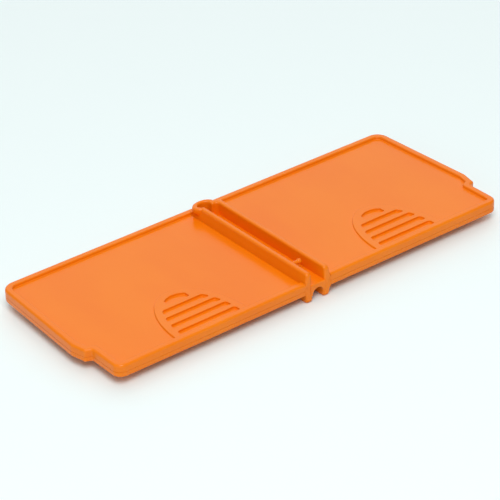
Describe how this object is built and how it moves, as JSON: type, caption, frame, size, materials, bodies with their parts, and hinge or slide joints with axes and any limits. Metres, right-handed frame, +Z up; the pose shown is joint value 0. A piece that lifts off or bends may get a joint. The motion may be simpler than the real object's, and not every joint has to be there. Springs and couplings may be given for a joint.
{
  "type": "pheromone insect trap",
  "caption": "Flat orange insect trap: a central spine with a trough and a hanging eye, and on each side a shallow tray under a sliding cover with a ribbed thumb grip.",
  "frame": {"origin": "under the middle of the trap, on the plane of the spine's feet", "axes": "+X along the trap to its right wing, +Y from the open front of the spine to the eye at its back, +Z up"},
  "size_m": [0.15, 0.058, 0.01],
  "materials": {
    "shell": "satin-gloss moulded orange polypropylene",
    "card": "coated card under a thin clear layer of glue",
    "lure": "matt red-brown rubber"
  },
  "bodies": {
    "frame": {"spine_channel": "shell", "keeper_pin": "shell", "left_tray": "shell", "right_tray": "shell", "left_glue_card": "card", "right_glue_card": "card", "left_lure_pad": "lure", "right_lure_pad": "lure"},
    "left_cover": {"left_cover": "shell"},
    "right_cover": {"right_cover": "shell"}
  },
  "joints": [
    {"name": "left_cover_slide", "type": "slide", "parent": "frame", "child": "left_cover", "axis": [0, -1, 0], "range_m": [0, 0.026]},
    {"name": "right_cover_slide", "type": "slide", "parent": "frame", "child": "right_cover", "axis": [0, -1, 0], "range_m": [0, 0.026]}
  ]
}
